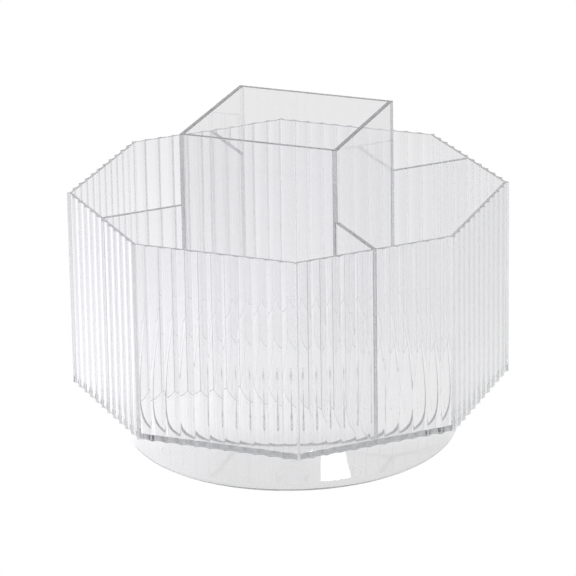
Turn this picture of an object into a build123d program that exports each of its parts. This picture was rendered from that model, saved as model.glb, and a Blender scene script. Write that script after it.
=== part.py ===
"""Rotating desk organizer: a fluted octagonal tub with a square cup, on a round dish.

The tub is bonded from clear sheet and fluted panels. It turns on a plain pivot in the middle of
the dish: a hub that stands on a thrust washer and is held down by a shoulder screw. Z is up,
the desk is at z = 0 and the turning axis is the Z axis.
The cup's panels face along X and Y.
"""
from build123d import *
from math import cos, radians, sqrt, tan
import os

# ---- driving dimensions, millimetres ----

# tub
ACROSS_FLATS = 158.0        # octagon, over the flute edges
TUB_HEIGHT = 78.5
WALL_THICKNESS = 2.0        # at the flute edges
FLUTES_PER_PANEL = 11
FLUTE_DEPTH = 1.0
FLUTE_LAND = 0.3            # flat edge left between two flutes
FLOOR_THICKNESS = 2.0

# cup and dividers
CUP_OUTSIDE = 63.8          # square, across its outer faces
CUP_WALL = 1.8
CUP_ABOVE_RIM = 28.5
DIVIDER_THICKNESS = 1.8

# base dish
DISH_RADIUS = 64.0          # where the taper would meet the underside
DISH_TAPER = 19.0           # degrees from upright
DISH_HEIGHT = 21.7
DISH_WALL = 2.0
DISH_EDGE_RADIUS = 6.0      # rounded lower edge
DISH_LIP_RADIUS = 0.6       # softened top lip
DISH_TO_TUB_GAP = 1.0

# non-slip feet
FOOT_COUNT = 4
FOOT_DIAMETER = 12.0
FOOT_HEIGHT = 0.8
FOOT_CIRCLE_RADIUS = 49.0
FOOT_EDGE = 0.2
FOOT_START = 45.0             # degrees, the first foot from +X

# pivot
HUB_DIAMETER = 9.0
HUB_FLANGE = 2.5            # beyond the hub, where it is bonded to the tub
HUB_FLANGE_HEIGHT = 1.5
THRUST_WASHER_DIAMETER = 13.0
THRUST_WASHER_THICKNESS = 0.8
SHOULDER_DIAMETER = 5.0
SHOULDER_CLEARANCE = 0.05   # radial, running fit in the bush
THREAD_DIAMETER = 4.0
THREAD_LENGTH = 9.0
THREAD_RUNOUT = 1.0         # bore beyond the screw's tip
THREAD_CLEARANCE = 0.05     # radial
HEAD_DIAMETER = 7.5
HEAD_HEIGHT = 1.8
HEAD_SOCKET = 3.0           # hexagon across flats
HEAD_SOCKET_DEPTH = 1.1
WASHER_DIAMETER = 9.0
WASHER_THICKNESS = 0.6
WASHER_PLAY = 0.3           # end float under the bush
POCKET_SIDE_GAP = 0.75      # washer to the pocket's wall
HEAD_ABOVE_UNDERSIDE = 0.5  # screw head to the dish's underside
BUSH_WALL = 2.0
BUSH_FLANGE = 2.0           # beyond the bush's wall
BUSH_FLANGE_HEIGHT = 1.5

# ---- heights and places worked out from them ----
SIDES = 8
HALF_TURN = 180.0 / SIDES
CUP_CORNERS = 4
QUARTER_TURN = 90.0

DISH_BOTTOM = FOOT_HEIGHT
DISH_TOP = DISH_BOTTOM + DISH_HEIGHT
TUB_BOTTOM = DISH_TOP + DISH_TO_TUB_GAP
FLOOR_TOP = TUB_BOTTOM + FLOOR_THICKNESS
RIM = TUB_BOTTOM + TUB_HEIGHT
CUP_TOP = RIM + CUP_ABOVE_RIM

APOTHEM = ACROSS_FLATS / 2
INNER_APOTHEM = APOTHEM - WALL_THICKNESS
PANEL_WIDTH = 2 * APOTHEM * tan(radians(HALF_TURN))
FLUTE_PITCH = PANEL_WIDTH / FLUTES_PER_PANEL

POCKET_RADIUS = WASHER_DIAMETER / 2 + POCKET_SIDE_GAP
HEAD_BOTTOM = DISH_BOTTOM + HEAD_ABOVE_UNDERSIDE
HEAD_TOP = HEAD_BOTTOM + HEAD_HEIGHT
POCKET_ROOF = HEAD_TOP + WASHER_THICKNESS + WASHER_PLAY
BUSH_TOP = POCKET_ROOF + BUSH_WALL
HUB_BOTTOM = BUSH_TOP + THRUST_WASHER_THICKNESS
DISH_FLOOR = DISH_BOTTOM + DISH_WALL


def octagon(apothem):
    """Regular octagon with two sides square to X."""
    corner = apothem / cos(radians(HALF_TURN))
    return RegularPolygon(corner, SIDES, rotation=HALF_TURN)


def ring_profile(points):
    """Face in the XZ plane from (radius, height) points, ready to revolve about Z."""
    return Plane.XZ * make_face(Polyline(*points, close=True))


def wall_panel():
    """Fluted panel on the -Y side: mitred ends, hollow flutes outside, flat inside."""
    half_outer = PANEL_WIDTH / 2
    half_inner = INNER_APOTHEM * tan(radians(HALF_TURN))
    half_land = FLUTE_LAND / 2
    edges = []
    for flute in range(FLUTES_PER_PANEL):
        left = -half_outer + flute * FLUTE_PITCH
        right = left + FLUTE_PITCH
        middle = (left + right) / 2
        start = (left + half_land, -APOTHEM)
        end = (right - half_land, -APOTHEM)
        edges.append(Line((left, -APOTHEM), start))
        edges.append(ThreePointArc(start, (middle, -APOTHEM + FLUTE_DEPTH), end))
        edges.append(Line(end, (right, -APOTHEM)))
    edges.append(Line((half_outer, -APOTHEM), (half_inner, -INNER_APOTHEM)))
    edges.append(Line((half_inner, -INNER_APOTHEM), (-half_inner, -INNER_APOTHEM)))
    edges.append(Line((-half_inner, -INNER_APOTHEM), (-half_outer, -APOTHEM)))
    return Pos(0, 0, TUB_BOTTOM) * extrude(make_face(edges), TUB_HEIGHT)


def tub_floor():
    """Flat octagon that fits inside the wall panels."""
    return Pos(0, 0, TUB_BOTTOM) * extrude(octagon(INNER_APOTHEM), FLOOR_THICKNESS)


def standing_sheet(size_x, size_y, top):
    """Upright rectangular sheet, centred on the axis, from the floor to a height."""
    height = top - FLOOR_TOP
    return Pos(0, 0, FLOOR_TOP) * Box(
        size_x, size_y, height, align=(Align.CENTER, Align.CENTER, Align.MIN)
    )


def cup_side_panel(side):
    """Cup panel across X, the full depth of the cup. side is -1 or 1."""
    offset = side * (CUP_OUTSIDE - CUP_WALL) / 2
    return Pos(offset, 0, 0) * standing_sheet(CUP_WALL, CUP_OUTSIDE, CUP_TOP)


def cup_end_panel(side):
    """Cup panel across Y, between the two side panels. side is -1 or 1."""
    offset = side * (CUP_OUTSIDE - CUP_WALL) / 2
    return Pos(0, offset, 0) * standing_sheet(CUP_OUTSIDE - 2 * CUP_WALL, CUP_WALL, CUP_TOP)


def divider():
    """Plain divider along +X, turned by the caller: notched over the cup's corner."""
    sheet = Pos(INNER_APOTHEM / 2, 0, 0) * standing_sheet(INNER_APOTHEM, DIVIDER_THICKNESS, RIM)
    cup_block = Rot(0, 0, QUARTER_TURN / 2) * standing_sheet(CUP_OUTSIDE, CUP_OUTSIDE, CUP_TOP)
    return sheet - cup_block


def circle_edges(solid, radius):
    """The solid's circular edges of one radius."""
    circles = solid.edges().filter_by(GeomType.CIRCLE)
    return circles.filter_by(lambda edge: abs(edge.radius - radius) < 1e-3)


def base_dish():
    """Round dish: flat floor with a hole for the bush, tapered wall, softened edges."""
    slope = tan(radians(DISH_TAPER))
    wall_across = DISH_WALL / cos(radians(DISH_TAPER))
    top_radius = DISH_RADIUS + DISH_HEIGHT * slope
    inner_floor_radius = DISH_RADIUS + DISH_WALL * slope - wall_across
    outline = [
        (POCKET_RADIUS, DISH_BOTTOM),
        (DISH_RADIUS, DISH_BOTTOM),
        (top_radius, DISH_TOP),
        (top_radius - wall_across, DISH_TOP),
        (inner_floor_radius, DISH_FLOOR),
        (POCKET_RADIUS, DISH_FLOOR),
    ]
    dish = revolve(ring_profile(outline), Axis.Z)
    dish = fillet(circle_edges(dish, DISH_RADIUS), DISH_EDGE_RADIUS)
    dish = fillet(circle_edges(dish, inner_floor_radius), DISH_EDGE_RADIUS - DISH_WALL)
    lip = dish.edges().filter_by(GeomType.CIRCLE).group_by(Axis.Z)[-1]
    return fillet(lip, DISH_LIP_RADIUS)


def pivot_bush():
    """Flanged cap bonded over the dish's hole: the screw's shoulder runs in it."""
    bore = SHOULDER_DIAMETER / 2 + SHOULDER_CLEARANCE
    wall_outer = POCKET_RADIUS + BUSH_WALL
    flange_top = DISH_FLOOR + BUSH_FLANGE_HEIGHT
    outline = [
        (bore, POCKET_ROOF),
        (POCKET_RADIUS, POCKET_ROOF),
        (POCKET_RADIUS, DISH_FLOOR),
        (wall_outer + BUSH_FLANGE, DISH_FLOOR),
        (wall_outer + BUSH_FLANGE, flange_top),
        (wall_outer, flange_top),
        (wall_outer, BUSH_TOP),
        (bore, BUSH_TOP),
    ]
    return revolve(ring_profile(outline), Axis.Z)


def pivot_hub():
    """Flanged hub bonded under the tub's floor, with a blind bore that takes the screw."""
    hub_radius = HUB_DIAMETER / 2
    bore = THREAD_DIAMETER / 2 + THREAD_CLEARANCE
    bore_top = HUB_BOTTOM + THREAD_LENGTH + THREAD_RUNOUT
    flange_bottom = TUB_BOTTOM - HUB_FLANGE_HEIGHT
    outline = [
        (0, bore_top),
        (bore, bore_top),
        (bore, HUB_BOTTOM),
        (hub_radius, HUB_BOTTOM),
        (hub_radius, flange_bottom),
        (hub_radius + HUB_FLANGE, flange_bottom),
        (hub_radius + HUB_FLANGE, TUB_BOTTOM),
        (0, TUB_BOTTOM),
    ]
    return revolve(ring_profile(outline), Axis.Z)


def washer(diameter, thickness, bottom):
    """Flat ring round the screw's shoulder."""
    ring = Circle(diameter / 2) - Circle(SHOULDER_DIAMETER / 2 + SHOULDER_CLEARANCE)
    return Pos(0, 0, bottom) * extrude(ring, thickness)


def pivot_screw():
    """Shoulder screw: low head with a hexagon socket, plain shoulder, plain thread body."""
    outline = [
        (0, HEAD_BOTTOM),
        (HEAD_DIAMETER / 2, HEAD_BOTTOM),
        (HEAD_DIAMETER / 2, HEAD_TOP),
        (SHOULDER_DIAMETER / 2, HEAD_TOP),
        (SHOULDER_DIAMETER / 2, HUB_BOTTOM),
        (THREAD_DIAMETER / 2, HUB_BOTTOM),
        (THREAD_DIAMETER / 2, HUB_BOTTOM + THREAD_LENGTH),
        (0, HUB_BOTTOM + THREAD_LENGTH),
    ]
    socket = extrude(RegularPolygon(HEAD_SOCKET / sqrt(3), 6), HEAD_SOCKET_DEPTH)
    return revolve(ring_profile(outline), Axis.Z) - Pos(0, 0, HEAD_BOTTOM) * socket


def foot():
    """Round pad with a softened lower edge, centred on the Z axis."""
    pad = extrude(Circle(FOOT_DIAMETER / 2), FOOT_HEIGHT)
    return fillet(pad.edges().group_by(Axis.Z)[0], FOOT_EDGE)


os.makedirs("parts", exist_ok=True)

panel = wall_panel()
for number in range(SIDES):
    turn = number * 2 * HALF_TURN
    export_step(Rot(0, 0, turn) * panel, f"parts/wall_panel_{number + 1}.step")

export_step(tub_floor(), "parts/tub_floor.step")
export_step(cup_side_panel(-1), "parts/cup_left.step")
export_step(cup_side_panel(1), "parts/cup_right.step")
export_step(cup_end_panel(-1), "parts/cup_front.step")
export_step(cup_end_panel(1), "parts/cup_back.step")

sheet = divider()
for number in range(CUP_CORNERS):
    turn = (number + 0.5) * QUARTER_TURN
    export_step(Rot(0, 0, turn) * sheet, f"parts/divider_{number + 1}.step")

thrust_washer = washer(THRUST_WASHER_DIAMETER, THRUST_WASHER_THICKNESS, BUSH_TOP)
screw_washer = washer(WASHER_DIAMETER, WASHER_THICKNESS, HEAD_TOP)
export_step(pivot_hub(), "parts/pivot_hub.step")
export_step(thrust_washer, "parts/thrust_washer.step")
export_step(pivot_bush(), "parts/pivot_bush.step")
export_step(pivot_screw(), "parts/pivot_screw.step")
export_step(screw_washer, "parts/screw_washer.step")
export_step(base_dish(), "parts/base_dish.step")

foot_places = PolarLocations(FOOT_CIRCLE_RADIUS, FOOT_COUNT, start_angle=FOOT_START)
for number, place in enumerate(foot_places):
    export_step(place * foot(), f"parts/foot_{number + 1}.step")
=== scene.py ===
# Clear rotating desk organizer. A fluted octagonal tub with a taller square cup stands on a
# round tapered dish and turns on a plain pivot in the middle.

from math import asin, cos, pi, radians, sin, sqrt, tan

import bpy
from mathutils import Matrix, Vector


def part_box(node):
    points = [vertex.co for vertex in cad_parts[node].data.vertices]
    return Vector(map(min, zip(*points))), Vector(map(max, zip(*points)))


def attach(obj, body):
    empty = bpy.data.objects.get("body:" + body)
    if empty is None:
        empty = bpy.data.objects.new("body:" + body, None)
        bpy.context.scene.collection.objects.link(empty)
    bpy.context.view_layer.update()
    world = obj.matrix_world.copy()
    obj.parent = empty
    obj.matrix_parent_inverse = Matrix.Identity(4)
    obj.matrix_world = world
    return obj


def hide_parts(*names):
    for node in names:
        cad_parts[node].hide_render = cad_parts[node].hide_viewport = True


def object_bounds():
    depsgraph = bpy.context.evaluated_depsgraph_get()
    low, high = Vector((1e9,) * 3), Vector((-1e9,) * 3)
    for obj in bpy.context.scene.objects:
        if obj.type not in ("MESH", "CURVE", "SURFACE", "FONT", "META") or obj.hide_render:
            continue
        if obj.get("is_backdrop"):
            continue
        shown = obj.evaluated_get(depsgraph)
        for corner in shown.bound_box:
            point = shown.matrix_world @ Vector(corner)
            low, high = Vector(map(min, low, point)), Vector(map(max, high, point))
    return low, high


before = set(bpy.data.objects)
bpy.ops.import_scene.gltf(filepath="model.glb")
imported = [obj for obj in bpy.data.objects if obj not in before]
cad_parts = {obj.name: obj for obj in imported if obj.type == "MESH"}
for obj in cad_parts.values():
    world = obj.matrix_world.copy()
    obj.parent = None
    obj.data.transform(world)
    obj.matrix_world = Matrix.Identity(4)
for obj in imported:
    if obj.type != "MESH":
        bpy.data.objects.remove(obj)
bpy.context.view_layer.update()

scene = bpy.context.scene
MM = 0.001


# ---------------------------------------------------------------- camera
# A long lens a metre and a half away, a little to the right and above, so that the tub's upright
# edges stay nearly parallel and the rims read as flat octagons.

CAMERA_PLACE = Vector((0.5616, -1.4696, 0.6528))
CAMERA_AZIMUTH = 20.94
CAMERA_ELEVATION = 20.63
CAMERA_ROLL = -0.91
CAMERA_LENS = 269.8

bpy.ops.object.select_all(action="DESELECT")
bpy.ops.object.camera_add(location=CAMERA_PLACE)
camera = bpy.context.object
camera.name = "camera"
camera.data.lens = CAMERA_LENS
camera.data.sensor_width = 36
turn = Matrix.Rotation(radians(CAMERA_AZIMUTH), 3, "Z")
tilt = Matrix.Rotation(radians(90 - CAMERA_ELEVATION), 3, "X")
roll = Matrix.Rotation(radians(CAMERA_ROLL), 3, "Z")
camera.rotation_euler = (turn @ tilt @ roll).to_euler()
camera.data.clip_end = 20
scene.camera = camera


# ---------------------------------------------------------------- wall panels
# Eight panels of clear extruded acrylic, hollow-fluted outside and flat inside, with their ends
# mitred and bonded at the octagon's corners. Rims are sawn and flame-polished.

PANEL_SIDES = 8
FLUTES = 11
FLUTE_DEPTH = 1.0 * MM
FLUTE_LAND = 0.3 * MM
FLUTE_STEPS = 20
GLUE_LINE = 0.03 * MM
PANEL_EDGE = 0.06 * MM
CLOSE = 1e-6                 # metres, places that are the same
WELD = 0.001 * MM
SMOOTH_ANGLE = radians(32)   # less than this is one curved surface
EDGE_ANGLE = radians(30)     # more than this is an edge to round
FLAT_ANGLE = radians(0.5)    # less than this is one flat

panel_low, panel_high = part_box("wall_panel_1")
apothem = -panel_low.y
inner_apothem = -panel_high.y
half_panel = panel_high.x
flute_pitch = 2 * half_panel / FLUTES


def deselect():
    if bpy.context.object and bpy.context.object.mode == "EDIT":
        bpy.ops.object.mode_set(mode="OBJECT")
    bpy.ops.object.select_all(action="DESELECT")


def pick(piece, kind, wanted):
    """Enter edit mode with only the faces, edges or vertices chosen by wanted(centre) selected."""
    bpy.ops.object.mode_set(mode="EDIT")
    bpy.ops.mesh.select_mode(type=kind)
    bpy.ops.mesh.select_all(action="DESELECT")
    bpy.ops.object.mode_set(mode="OBJECT")
    mesh = piece.data
    if kind == "VERT":
        for vertex in mesh.vertices:
            vertex.select = wanted(vertex.co)
    if kind == "EDGE":
        for edge in mesh.edges:
            ends = [mesh.vertices[i].co for i in edge.vertices]
            edge.select = wanted((ends[0] + ends[1]) / 2)
    if kind == "FACE":
        for face in mesh.polygons:
            face.select = wanted(face.center)
    bpy.ops.object.mode_set(mode="EDIT")


def close_to(a, b):
    return abs(a - b) < CLOSE


def finish_normals(piece):
    """Smooth the curved faces and keep the flats truly flat."""
    bpy.ops.object.shade_smooth_by_angle(angle=SMOOTH_ANGLE)
    weighted = piece.modifiers.new("normals", "WEIGHTED_NORMAL")
    weighted.keep_sharp = True
    weighted.weight = 100
    bpy.ops.object.modifier_apply(modifier=weighted.name)


def finish_edges(piece, width):
    """Round the sharp edges a little and give the flats true normals, as polished plastic has."""
    if bpy.context.object.mode == "EDIT":
        bpy.ops.object.mode_set(mode="OBJECT")
    bpy.ops.object.transform_apply(location=True, rotation=True, scale=True)
    bevel = piece.modifiers.new("edge", "BEVEL")
    bevel.width = width
    bevel.segments = 2
    bevel.limit_method = "ANGLE"
    bevel.angle_limit = EDGE_ANGLE
    bpy.ops.object.modifier_apply(modifier=bevel.name)
    finish_normals(piece)


DEPTH_TINT = (0.45, 0.46, 0.48)      # what a long way through the plastic takes on
DEPTH_DENSITY = 10
SHEET_TINT = (0.975, 0.975, 0.98)
SAWN_HAZE = 0.12
DRIFT_SCALE = 35                     # slow unevenness, a few centimetres across
RUB_SCALE = 260                      # rubbing marks, a few millimetres across
RUB_FROM, RUB_TO = 0.55, 0.80        # how much of the surface is rubbed
LEVEL_FROM, LEVEL_TO = 0.90, 0.98    # how level a face is to count as sawn


def clear_plastic(name, tint, haze, wave, edge_haze=0.0, density=DEPTH_DENSITY):
    """Clear polished plastic. The faces are very slightly wavy, by wave in metres, and have fine
    rubbing marks up to haze in roughness. Level faces, which are sawn edges, are duller, and
    long ways through the plastic are greyer."""
    material = bpy.data.materials.new(name)
    material.use_nodes = True
    nodes, links = material.node_tree.nodes, material.node_tree.links
    shader = nodes["Principled BSDF"]
    shader.inputs["Base Color"].default_value = (*tint, 1)
    shader.inputs["IOR"].default_value = 1.49
    shader.inputs["Transmission Weight"].default_value = 1
    depth = nodes.new("ShaderNodeVolumeAbsorption")
    depth.inputs["Color"].default_value = (*DEPTH_TINT, 1)
    depth.inputs["Density"].default_value = density
    links.new(depth.outputs["Volume"], nodes["Material Output"].inputs["Volume"])
    place = nodes.new("ShaderNodeTexCoord")

    drift = nodes.new("ShaderNodeTexNoise")
    drift.inputs["Scale"].default_value = DRIFT_SCALE
    drift.inputs["Detail"].default_value = 1
    links.new(place.outputs["Object"], drift.inputs["Vector"])
    waviness = nodes.new("ShaderNodeBump")
    waviness.inputs["Distance"].default_value = wave
    links.new(drift.outputs["Fac"], waviness.inputs["Height"])
    links.new(waviness.outputs["Normal"], shader.inputs["Normal"])

    rubbed = nodes.new("ShaderNodeTexNoise")
    rubbed.inputs["Scale"].default_value = RUB_SCALE
    rubbed.inputs["Detail"].default_value = 4
    links.new(place.outputs["Object"], rubbed.inputs["Vector"])
    marks = nodes.new("ShaderNodeMapRange")
    marks.inputs["From Min"].default_value = RUB_FROM
    marks.inputs["From Max"].default_value = RUB_TO
    marks.inputs["To Max"].default_value = haze
    links.new(rubbed.outputs["Fac"], marks.inputs["Value"])

    facing = nodes.new("ShaderNodeSeparateXYZ")
    links.new(place.outputs["Normal"], facing.inputs[0])
    level = nodes.new("ShaderNodeMath")
    level.operation = "ABSOLUTE"
    links.new(facing.outputs["Z"], level.inputs[0])
    sawn = nodes.new("ShaderNodeMapRange")
    sawn.inputs["From Min"].default_value = LEVEL_FROM
    sawn.inputs["From Max"].default_value = LEVEL_TO
    sawn.inputs["To Max"].default_value = edge_haze
    links.new(level.outputs[0], sawn.inputs["Value"])
    roughness = nodes.new("ShaderNodeMath")
    roughness.operation = "MAXIMUM"
    links.new(marks.outputs["Result"], roughness.inputs[0])
    links.new(sawn.outputs["Result"], roughness.inputs[1])
    links.new(roughness.outputs[0], shader.inputs["Roughness"])
    return material


fluted_acrylic = clear_plastic(
    "fluted acrylic", SHEET_TINT, haze=0.05, wave=0.06 * MM, edge_haze=SAWN_HAZE
)

# one flute: an upright edge spun through the hollow, then lands, then the flat back
half_chord = flute_pitch / 2 - FLUTE_LAND / 2
flute_radius = (half_chord**2 + FLUTE_DEPTH**2) / (2 * FLUTE_DEPTH)
flute_axis = -apothem + FLUTE_DEPTH - flute_radius

deselect()
bpy.ops.mesh.primitive_plane_add(size=1)
flute = bpy.context.object
flute.name = "flute"
pick(flute, "VERT", lambda v: v.x > 0)
bpy.ops.mesh.delete(type="VERT")
bpy.ops.object.mode_set(mode="OBJECT")
low, high = sorted(flute.data.vertices, key=lambda v: v.co.y)
low.co = (-half_chord, -apothem, panel_low.z)
high.co = (-half_chord, -apothem, panel_high.z)
bpy.ops.object.mode_set(mode="EDIT")
bpy.ops.mesh.select_all(action="SELECT")
bpy.ops.mesh.spin(
    steps=FLUTE_STEPS,
    angle=2 * asin(half_chord / flute_radius),
    center=(0, flute_axis, 0),
    axis=(0, 0, 1),
)
for side in (-1, 1):
    pick(flute, "EDGE", lambda c: close_to(c.x, side * half_chord))
    bpy.ops.mesh.extrude_edges_move(
        TRANSFORM_OT_translate={"value": (side * FLUTE_LAND / 2, 0, 0)}
    )
bpy.ops.mesh.select_mode(type="FACE")
bpy.ops.mesh.select_all(action="SELECT")
bpy.ops.mesh.extrude_region_move()
bpy.ops.transform.resize(value=(1, 0, 1), center_override=(0, -inner_apothem, 0))
pick(flute, "FACE", lambda c: close_to(abs(c.x), flute_pitch / 2))
bpy.ops.mesh.delete(type="FACE")
bpy.ops.object.mode_set(mode="OBJECT")

# eleven flutes in a row make the panel, and the ends are cut on the mitre and capped
row = flute.modifiers.new("row", "ARRAY")
row.count = FLUTES
row.use_relative_offset = False
row.use_constant_offset = True
row.constant_offset_displace = (flute_pitch, 0, 0)
row.use_merge_vertices = True
row.merge_threshold = 0.01 * MM
bpy.ops.object.modifier_apply(modifier=row.name)
flute.location.x = -flute_pitch * (FLUTES - 1) / 2
bpy.ops.object.transform_apply(location=True, rotation=False, scale=False)
mitre = pi / PANEL_SIDES
for side in (-1, 1):
    outward = Vector((side * cos(mitre), sin(mitre), 0))
    bpy.ops.object.mode_set(mode="EDIT")
    bpy.ops.mesh.select_all(action="SELECT")
    bpy.ops.mesh.bisect(
        plane_co=-outward * GLUE_LINE / 2,
        plane_no=outward,
        use_fill=True,
        clear_outer=True,
    )
bpy.ops.mesh.select_all(action="SELECT")
bpy.ops.mesh.remove_doubles(threshold=WELD)
bpy.ops.mesh.normals_make_consistent(inside=False)
bpy.ops.mesh.dissolve_limited(angle_limit=FLAT_ANGLE)
finish_edges(flute, PANEL_EDGE)



def placed_copy(piece, name, place):
    """A copy of a piece, with its own mesh moved to its place."""
    copy = piece.copy()
    copy.data = piece.data.copy()
    copy.name = name
    copy.data.name = name
    copy.data.transform(place)
    scene.collection.objects.link(copy)
    return copy


for number in range(PANEL_SIDES):
    place = Matrix.Rotation(2 * mitre * number, 4, "Z")
    panel = placed_copy(flute, f"fluted_wall_{number + 1}", place)
    panel.data.materials.append(fluted_acrylic)
    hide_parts(f"wall_panel_{number + 1}")
    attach(panel, "tub")
bpy.data.objects.remove(flute)


# ---------------------------------------------------------------- tub floor
# A flat octagon of the same clear sheet, bonded inside the walls level with their lower edges.

SHEET_EDGE = 0.15 * MM
floor_acrylic = clear_plastic(
    "floor acrylic", (0.98, 0.98, 0.98), haze=0.04, wave=0.06 * MM, density=7
)

floor_low, floor_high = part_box("tub_floor")
floor_apothem = floor_high.x - GLUE_LINE
deselect()
bpy.ops.mesh.primitive_cylinder_add(
    vertices=PANEL_SIDES,
    radius=floor_apothem / cos(mitre),
    depth=floor_high.z - floor_low.z,
    location=(0, 0, (floor_low.z + floor_high.z) / 2),
    rotation=(0, 0, mitre),
)
floor_sheet = bpy.context.object
floor_sheet.name = "floor_sheet"
finish_edges(floor_sheet, SHEET_EDGE)
floor_sheet.data.materials.append(floor_acrylic)
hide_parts("tub_floor")
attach(floor_sheet, "tub")


# ---------------------------------------------------------------- cup
# Four upright panels of plain sheet. The side panels run the full depth of the cup, and the front
# and back panels are butted between them, so their sawn ends show as narrow bands at the corners.

sheet_acrylic = clear_plastic(
    "sheet acrylic", SHEET_TINT, haze=0.05, wave=0.06 * MM, edge_haze=SAWN_HAZE
)


def sheet_panel(name, low, high):
    """An upright sheet between two corners, held a glue line off what it stands on."""
    deselect()
    bpy.ops.mesh.primitive_cube_add(size=1, location=(low + high) / 2)
    sheet = bpy.context.object
    sheet.name = name
    sheet.scale = high - low
    bpy.ops.object.transform_apply(location=True, rotation=True, scale=True)
    return sheet


for node in ("cup_left", "cup_right", "cup_front", "cup_back"):
    low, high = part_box(node)
    low.z += GLUE_LINE
    if node in ("cup_front", "cup_back"):
        low.x += GLUE_LINE
        high.x -= GLUE_LINE
    sheet = sheet_panel(f"{node}_sheet", low, high)
    finish_edges(sheet, SHEET_EDGE)
    sheet.data.materials.append(sheet_acrylic)
    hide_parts(node)
    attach(sheet, "tub")


# ---------------------------------------------------------------- dividers
# Four plain sheets, level with the rim, from the cup's corners to the middles of the slanted
# walls. The inner end of each is notched to sit over the cup's corner.

DIVIDERS = 4
DIVIDER_THICKNESS = 1.8 * MM
cup_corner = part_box("cup_right")[1].x * sqrt(2)
divider_low, divider_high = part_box("divider_1")

low = Vector((cup_corner - DIVIDER_THICKNESS / 2, -DIVIDER_THICKNESS / 2, divider_low.z))
high = Vector((inner_apothem, DIVIDER_THICKNESS / 2, divider_high.z))
low += Vector((GLUE_LINE, 0, GLUE_LINE))
high.x -= GLUE_LINE
divider = sheet_panel("divider", low, high)
bpy.ops.object.mode_set(mode="EDIT")
bpy.ops.mesh.select_all(action="SELECT")
bpy.ops.mesh.bisect(plane_co=(0, 0, 0), plane_no=(0, 1, 0))
pick(divider, "VERT", lambda v: close_to(v.y, 0) and v.x < cup_corner)
bpy.ops.transform.translate(value=(DIVIDER_THICKNESS / 2, 0, 0))
bpy.ops.mesh.select_all(action="SELECT")
bpy.ops.mesh.dissolve_limited(angle_limit=FLAT_ANGLE)
finish_edges(divider, SHEET_EDGE)

for number in range(DIVIDERS):
    place = Matrix.Rotation(pi / 4 + pi / 2 * number, 4, "Z")
    sheet = placed_copy(divider, f"divider_sheet_{number + 1}", place)
    sheet.data.materials.append(sheet_acrylic)
    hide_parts(f"divider_{number + 1}")
    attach(sheet, "tub")
bpy.data.objects.remove(divider)


# ---------------------------------------------------------------- base dish
# A shallow round dish, moulded clear: flat floor with a hole for the bush, a wall that flares
# upwards, a generous radius at the foot and a rounded lip just under the tub.

DISH_RADIUS = 64.0 * MM
DISH_TAPER = radians(19)
DISH_WALL = 2.0 * MM
DISH_EDGE_RADIUS = 6.0 * MM
DISH_LIP_RADIUS = 0.6 * MM
DISH_HOLE = 5.25 * MM
TURNING_STEPS = 192


def arc(centre, radius, start, end, steps):
    """Points (radius, height) on an arc, angles from the outward direction up."""
    angles = [start + (end - start) * i / steps for i in range(steps + 1)]
    return [(centre[0] + radius * cos(a), centre[1] + radius * sin(a)) for a in angles]


def turned(name, profile, closed=True, steps=TURNING_STEPS):
    """Turn (radius, height) points about the upright axis, and cap an open profile's ends."""
    deselect()
    (radius, height), *others = profile
    bpy.ops.mesh.primitive_circle_add(vertices=steps, radius=radius, location=(0, 0, height))
    piece = bpy.context.object
    piece.name = name
    bpy.ops.object.transform_apply(location=True, rotation=True, scale=True)
    bpy.ops.object.mode_set(mode="EDIT")
    bpy.ops.mesh.select_mode(type="EDGE")
    bpy.ops.mesh.select_all(action="SELECT")
    if not closed:
        bpy.ops.mesh.edge_face_add()
    for next_radius, next_height in others + profile[:1] * closed:
        bpy.ops.mesh.extrude_edges_move(
            TRANSFORM_OT_translate={"value": (0, 0, next_height - height)}
        )
        ratio = next_radius / radius
        bpy.ops.transform.resize(value=(ratio, ratio, 1), center_override=(0, 0, 0))
        radius, height = next_radius, next_height
    if not closed:
        bpy.ops.mesh.edge_face_add()
    bpy.ops.mesh.select_all(action="SELECT")
    bpy.ops.mesh.remove_doubles(threshold=WELD)
    bpy.ops.mesh.normals_make_consistent(inside=False)
    bpy.ops.object.mode_set(mode="OBJECT")
    return piece


dish_low, dish_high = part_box("base_dish")
slope = tan(DISH_TAPER)
wall_across = DISH_WALL / cos(DISH_TAPER)
inner_radius = DISH_EDGE_RADIUS - DISH_WALL
lip_centre_z = dish_high.z - DISH_LIP_RADIUS


def wall_at(height):
    """Outer radius of the dish's wall at a height."""
    return DISH_RADIUS + (height - dish_low.z) * slope


foot_centre_z = dish_low.z + DISH_EDGE_RADIUS
foot_centre = (wall_at(foot_centre_z) - DISH_EDGE_RADIUS / cos(DISH_TAPER), foot_centre_z)
outer_lip = (wall_at(lip_centre_z) - DISH_LIP_RADIUS / cos(DISH_TAPER), lip_centre_z)
inner_lip_radius = wall_at(lip_centre_z) - wall_across + DISH_LIP_RADIUS / cos(DISH_TAPER)
inner_lip = (inner_lip_radius, lip_centre_z)
down, up = -pi / 2, pi / 2
profile = [(DISH_HOLE, dish_low.z)]
profile += arc(foot_centre, DISH_EDGE_RADIUS, down, -DISH_TAPER, 16)
profile += arc(outer_lip, DISH_LIP_RADIUS, -DISH_TAPER, up, 6)
profile += arc(inner_lip, DISH_LIP_RADIUS, up, pi - DISH_TAPER, 6)
profile += arc(foot_centre, inner_radius, -DISH_TAPER, down, 12)
profile += [(DISH_HOLE, dish_low.z + DISH_WALL)]
dish = turned("dish", profile)
finish_normals(dish)
dish_plastic = clear_plastic("dish plastic", SHEET_TINT, haze=0.05, wave=0.10 * MM)
dish.data.materials.append(dish_plastic)
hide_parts("base_dish")
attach(dish, "base")


# ---------------------------------------------------------------- pivot
# A clear turned hub under the tub's floor stands on a thrust washer, on a clear bush bonded over
# the dish's hole. A bright shoulder screw comes up through the bush into the hub, so that the tub
# lifts with the base.

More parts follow.
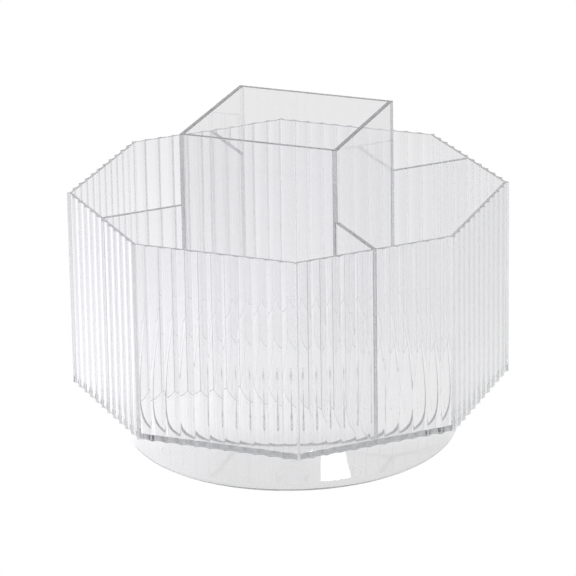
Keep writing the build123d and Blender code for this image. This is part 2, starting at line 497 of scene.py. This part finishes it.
TURNED_EDGE = 0.2 * MM
PIVOT_STEPS = 96
SCREW_STEPS = 64
HUB_RADIUS = 4.5 * MM
HUB_FLANGE_HEIGHT = 1.5 * MM
THREAD_BORE = 2.05 * MM
THREAD_BORE_DEPTH = 10.0 * MM
turned_plastic = clear_plastic("turned plastic", (0.98, 0.98, 0.985), haze=0.05, wave=0.02 * MM)

hub_low, hub_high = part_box("pivot_hub")
flange_low = hub_high.z - HUB_FLANGE_HEIGHT
hub = turned(
    "hub",
    [
        (THREAD_BORE, hub_low.z + THREAD_BORE_DEPTH),
        (THREAD_BORE, hub_low.z),
        (HUB_RADIUS, hub_low.z),
        (HUB_RADIUS, flange_low),
        (hub_high.x, flange_low),
        (hub_high.x, hub_high.z - GLUE_LINE),
    ],
    closed=False,
    steps=PIVOT_STEPS,
)
finish_edges(hub, TURNED_EDGE)
hub.data.materials.append(turned_plastic)
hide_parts("pivot_hub")
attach(hub, "tub")

bush_low, bush_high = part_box("pivot_bush")
BUSH_BORE = 2.55 * MM
BUSH_POCKET = 5.25 * MM
BUSH_WALL = 2.0 * MM
BUSH_FLANGE_HEIGHT = 1.5 * MM
flange_low = bush_low.z + GLUE_LINE
flange_high = bush_low.z + BUSH_FLANGE_HEIGHT
bush_outer = BUSH_POCKET + BUSH_WALL
bush = turned(
    "bush",
    [
        (BUSH_BORE, bush_high.z - BUSH_WALL),
        (BUSH_POCKET, bush_high.z - BUSH_WALL),
        (BUSH_POCKET, flange_low),
        (bush_high.x, flange_low),
        (bush_high.x, flange_high),
        (bush_outer, flange_high),
        (bush_outer, bush_high.z),
        (BUSH_BORE, bush_high.z),
    ],
    steps=PIVOT_STEPS,
)
finish_edges(bush, TURNED_EDGE)
bush.data.materials.append(turned_plastic)
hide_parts("pivot_bush")
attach(bush, "base")


def washer(name, node, gap):
    """A flat ring the size of its CAD node, drawn in by a gap above and below."""
    low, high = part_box(node)
    low.z, high.z = low.z + gap, high.z - gap
    profile = [(BUSH_BORE, low.z), (high.x, low.z), (high.x, high.z), (BUSH_BORE, high.z)]
    ring = turned(name, profile, steps=PIVOT_STEPS)
    finish_edges(ring, TURNED_EDGE / 2)
    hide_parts(node)
    return ring


thrust_ring = washer("thrust_ring", "thrust_washer", GLUE_LINE)
thrust_ring.data.materials.append(turned_plastic)
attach(thrust_ring, "base")

nylon = bpy.data.materials.new("natural nylon")
nylon.use_nodes = True
nodes, links = nylon.node_tree.nodes, nylon.node_tree.links
shader = nodes["Principled BSDF"]
shader.inputs["Subsurface Weight"].default_value = 0.3
place = nodes.new("ShaderNodeTexCoord")
flow = nodes.new("ShaderNodeTexNoise")
flow.inputs["Scale"].default_value = 400
flow.inputs["Detail"].default_value = 5
cloudy = nodes.new("ShaderNodeValToRGB")
cloudy.color_ramp.elements[0].color = (0.80, 0.80, 0.76, 1)
cloudy.color_ramp.elements[1].color = (0.90, 0.90, 0.87, 1)
satin = nodes.new("ShaderNodeMapRange")
satin.inputs["To Min"].default_value = 0.35
satin.inputs["To Max"].default_value = 0.55
pebble = nodes.new("ShaderNodeBump")
pebble.inputs["Distance"].default_value = 0.01 * MM
links.new(place.outputs["Object"], flow.inputs["Vector"])
links.new(flow.outputs["Fac"], cloudy.inputs[0])
links.new(flow.outputs["Fac"], satin.inputs["Value"])
links.new(flow.outputs["Fac"], pebble.inputs["Height"])
links.new(cloudy.outputs[0], shader.inputs["Base Color"])
links.new(satin.outputs["Result"], shader.inputs["Roughness"])
links.new(pebble.outputs["Normal"], shader.inputs["Normal"])
nylon_ring = washer("nylon_ring", "screw_washer", 0)
nylon_ring.data.materials.append(nylon)
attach(nylon_ring, "tub")

SHOULDER_RADIUS = 2.5 * MM
THREAD_RADIUS = 2.0 * MM
THREAD_ROOT = 1.65 * MM
THREAD_PITCH = 0.7 * MM
HEX_ACROSS_FLATS = 3.0 * MM
HEX_DEPTH = 1.1 * MM
screw_low, screw_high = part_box("pivot_screw")
head_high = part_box("screw_washer")[0].z - GLUE_LINE
shoulder_high = hub_low.z - GLUE_LINE
outline = [(screw_high.x, screw_low.z), (screw_high.x, head_high)]
outline += [(SHOULDER_RADIUS, head_high), (SHOULDER_RADIUS, shoulder_high)]
turns = int((screw_high.z - shoulder_high) / THREAD_PITCH)
for number in range(turns):
    low = shoulder_high + number * THREAD_PITCH
    outline += [(THREAD_ROOT, low), (THREAD_RADIUS, low + THREAD_PITCH / 2)]
outline += [(THREAD_ROOT, shoulder_high + turns * THREAD_PITCH)]
screw = turned("shoulder_screw", outline, closed=False, steps=SCREW_STEPS)

deselect()
bpy.ops.mesh.primitive_cylinder_add(
    vertices=6,
    radius=HEX_ACROSS_FLATS / sqrt(3),
    depth=2 * HEX_DEPTH,
    location=(0, 0, screw_low.z),
)
socket = bpy.context.object
deselect()
screw.select_set(True)
bpy.context.view_layer.objects.active = screw
cut = screw.modifiers.new("socket", "BOOLEAN")
cut.object = socket
cut.solver = "EXACT"
bpy.ops.object.modifier_apply(modifier=cut.name)
bpy.data.objects.remove(socket)
finish_normals(screw)

# fine turning rings on the steel, with a slight smear across them
TURNING_RINGS = 2000
steel = bpy.data.materials.new("bright steel")
steel.use_nodes = True
nodes, links = steel.node_tree.nodes, steel.node_tree.links
shader = nodes["Principled BSDF"]
shader.inputs["Base Color"].default_value = (0.72, 0.73, 0.74, 1)
shader.inputs["Metallic"].default_value = 1
place = nodes.new("ShaderNodeTexCoord")
rings = nodes.new("ShaderNodeTexWave")
rings.wave_type = "RINGS"
rings.rings_direction = "Z"
rings.inputs["Scale"].default_value = TURNING_RINGS
rings.inputs["Distortion"].default_value = 1
smear = nodes.new("ShaderNodeMapRange")
smear.inputs["To Min"].default_value = 0.18
smear.inputs["To Max"].default_value = 0.34
tooling = nodes.new("ShaderNodeBump")
tooling.inputs["Distance"].default_value = 0.003 * MM
links.new(place.outputs["Object"], rings.inputs["Vector"])
links.new(rings.outputs["Fac"], smear.inputs["Value"])
links.new(rings.outputs["Fac"], tooling.inputs["Height"])
links.new(smear.outputs["Result"], shader.inputs["Roughness"])
links.new(tooling.outputs["Normal"], shader.inputs["Normal"])
screw.data.materials.append(steel)
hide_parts("pivot_screw")
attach(screw, "tub")


# ---------------------------------------------------------------- feet
# Four clear silicone pads, stuck under the dish.

FOOT_EDGE = 0.3 * MM
PAD_STEPS = 64
FEET = 4
silicone = clear_plastic("clear silicone", (0.99, 0.99, 0.99), haze=0.04, wave=0.01 * MM)
silicone.node_tree.nodes["Principled BSDF"].inputs["IOR"].default_value = 1.41

low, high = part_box("foot_1")
radius = (high.x - low.x) / 2
pad = turned(
    "pad",
    [(radius - FOOT_EDGE, low.z), (radius, low.z + FOOT_EDGE), (radius, high.z - GLUE_LINE)],
    closed=False,
    steps=PAD_STEPS,
)
finish_normals(pad)
for number in range(FEET):
    low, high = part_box(f"foot_{number + 1}")
    middle = (low + high) / 2
    place = Matrix.Translation((middle.x, middle.y, 0))
    foot = placed_copy(pad, f"foot_pad_{number + 1}", place)
    foot.data.materials.append(silicone)
    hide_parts(f"foot_{number + 1}")
    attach(foot, "base")
bpy.data.objects.remove(pad)


# ---------------------------------------------------------------- surroundings
# A pale table in a pale room. The table is plain white where it is looked at directly. As seen
# through or in the clear plastic
# it carries painted light and shade: a little greyer to the right and away from the middle, a
# painted shadow of the tub, and brighter to the left and near the middle, painted light.

TABLE_GAP = 0.05 * MM
TABLE_SIZE = 12
TABLE_FADE = (-0.20, 0.20)
# painted shade and light across the table: grey to the right, where the tub's shadow is painted,
# bright to the left
TABLE_PAINTED_SIDE_TONES = [
    (-0.20, (0.76, 0.76, 0.76)),
    (-0.08, (0.84, 0.84, 0.84)),
    (-0.03, (0.90, 0.90, 0.90)),
    (0.025, (0.91, 0.91, 0.91)),
    (0.060, (1.05, 1.04, 1.06)),
    (0.20, (1.02, 1.005, 1.035)),
]
# painted light and shade along the table: brightest just behind the middle, greyer in front and
# far behind
TABLE_DEPTH = (-0.06, 0.35)
TABLE_PAINTED_DEPTH_TONES = [
    (-0.06, 0.86),
    (-0.02, 0.89),
    (0.0, 1.08),
    (0.08, 1.08),
    (0.14, 1.01),
    (0.22, 0.95),
    (0.35, 0.90),
]
FAR_TONE = (0.96, 0.96, 0.965, 1)
FAR_FADE = (0.10, 0.30)
FAR_SHARE = 0.6
MIX_A, MIX_B, MIX_RESULT = 6, 7, 2      # a Mix node's colour sockets
ROOM_TONES = [(0.0, 0.75), (0.35, 0.95), (0.60, 0.75), (1.0, 0.65)]


def tone_ramp(nodes, tones, low, high):
    """A colour ramp whose stops are given at places between low and high."""
    ramp = nodes.new("ShaderNodeValToRGB")
    stops = ramp.color_ramp.elements
    while len(stops) < len(tones):
        stops.new(0.5)
    for stop, (place, tone) in zip(stops, tones):
        stop.position = (place - low) / (high - low)
        stop.color = (*tone, 1) if isinstance(tone, tuple) else (tone, tone, tone, 1)
    return ramp


deselect()
bpy.ops.mesh.primitive_plane_add(size=TABLE_SIZE, location=(0, 0, -TABLE_GAP))
table = bpy.context.object
table.name = "table"
table_surface = bpy.data.materials.new("pale table")
table_surface.use_nodes = True
nodes, links = table_surface.node_tree.nodes, table_surface.node_tree.links
nodes.clear()
output = nodes.new("ShaderNodeOutputMaterial")
path = nodes.new("ShaderNodeLightPath")
seen = nodes.new("ShaderNodeEmission")
through = nodes.new("ShaderNodeEmission")
place = nodes.new("ShaderNodeTexCoord")
across = radians(CAMERA_AZIMUTH)
leftwards = (-cos(across), -sin(across), 0)
backwards = (-sin(across), cos(across), 0)


def table_way(way, reach):
    """How far along a way a spot on the table is, from 0 to 1 over the reach."""
    along = nodes.new("ShaderNodeVectorMath")
    along.operation = "DOT_PRODUCT"
    along.inputs[1].default_value = way
    spread = nodes.new("ShaderNodeMapRange")
    spread.inputs["From Min"].default_value, spread.inputs["From Max"].default_value = reach
    links.new(place.outputs["Object"], along.inputs[0])
    links.new(along.outputs["Value"], spread.inputs["Value"])
    return spread


painted_sideways = tone_ramp(nodes, TABLE_PAINTED_SIDE_TONES, *TABLE_FADE)
painted_endways = tone_ramp(nodes, TABLE_PAINTED_DEPTH_TONES, *TABLE_DEPTH)
evening = table_way(backwards, FAR_FADE)
evening.inputs["To Max"].default_value = FAR_SHARE
evened = nodes.new("ShaderNodeMix")
evened.data_type = "RGBA"
evened.inputs[MIX_B].default_value = FAR_TONE
mix = nodes.new("ShaderNodeMixShader")
links.new(table_way(leftwards, TABLE_FADE).outputs["Result"], painted_sideways.inputs[0])
links.new(table_way(backwards, TABLE_DEPTH).outputs["Result"], painted_endways.inputs[0])
links.new(evening.outputs["Result"], evened.inputs[0])
links.new(painted_sideways.outputs[0], evened.inputs[MIX_A])
links.new(evened.outputs[MIX_RESULT], through.inputs["Color"])
links.new(painted_endways.outputs[0], through.inputs["Strength"])
# the camera sees the plain white; rays through or off the plastic see the painted light and shade
links.new(path.outputs["Is Camera Ray"], mix.inputs[0])
links.new(through.outputs[0], mix.inputs[1])
links.new(seen.outputs[0], mix.inputs[2])
links.new(mix.outputs[0], output.inputs["Surface"])
table.data.materials.append(table_surface)
table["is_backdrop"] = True

# a small bright card lies before the dish, and shows only as a highlight on its wall
CARD_PLACE = Vector((45.0, -60.0, 0.3)) * MM
CARD_SIZE = (14 * MM, 12 * MM)
CARD_TURN = radians(37)
CARD_STRENGTH = 8
deselect()
bpy.ops.mesh.primitive_plane_add(size=1, location=CARD_PLACE, rotation=(0, 0, CARD_TURN))
card = bpy.context.object
card.name = "card"
card.scale = (*CARD_SIZE, 1)
card_surface = bpy.data.materials.new("bright card")
card_surface.use_nodes = True
nodes, links = card_surface.node_tree.nodes, card_surface.node_tree.links
nodes.clear()
output = nodes.new("ShaderNodeOutputMaterial")
glow = nodes.new("ShaderNodeEmission")
glow.inputs["Strength"].default_value = CARD_STRENGTH
links.new(glow.outputs[0], output.inputs["Surface"])
card.data.materials.append(card_surface)
card.visible_camera = False
card.visible_diffuse = False
card.visible_transmission = False
card.visible_shadow = False
card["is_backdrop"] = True

world = bpy.data.worlds.new("room")
scene.world = world
world.use_nodes = True
nodes, links = world.node_tree.nodes, world.node_tree.links
direction = nodes.new("ShaderNodeTexCoord")
upwards = nodes.new("ShaderNodeSeparateXYZ")
tones = tone_ramp(nodes, ROOM_TONES, 0, 1)
links.new(direction.outputs["Generated"], upwards.inputs[0])
links.new(upwards.outputs["Z"], tones.inputs[0])
links.new(tones.outputs[0], nodes["Background"].inputs["Color"])

scene.view_settings.view_transform = "Standard"
scene.cycles.max_bounces = 128
scene.cycles.transmission_bounces = 128
scene.cycles.glossy_bounces = 128

low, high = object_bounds()
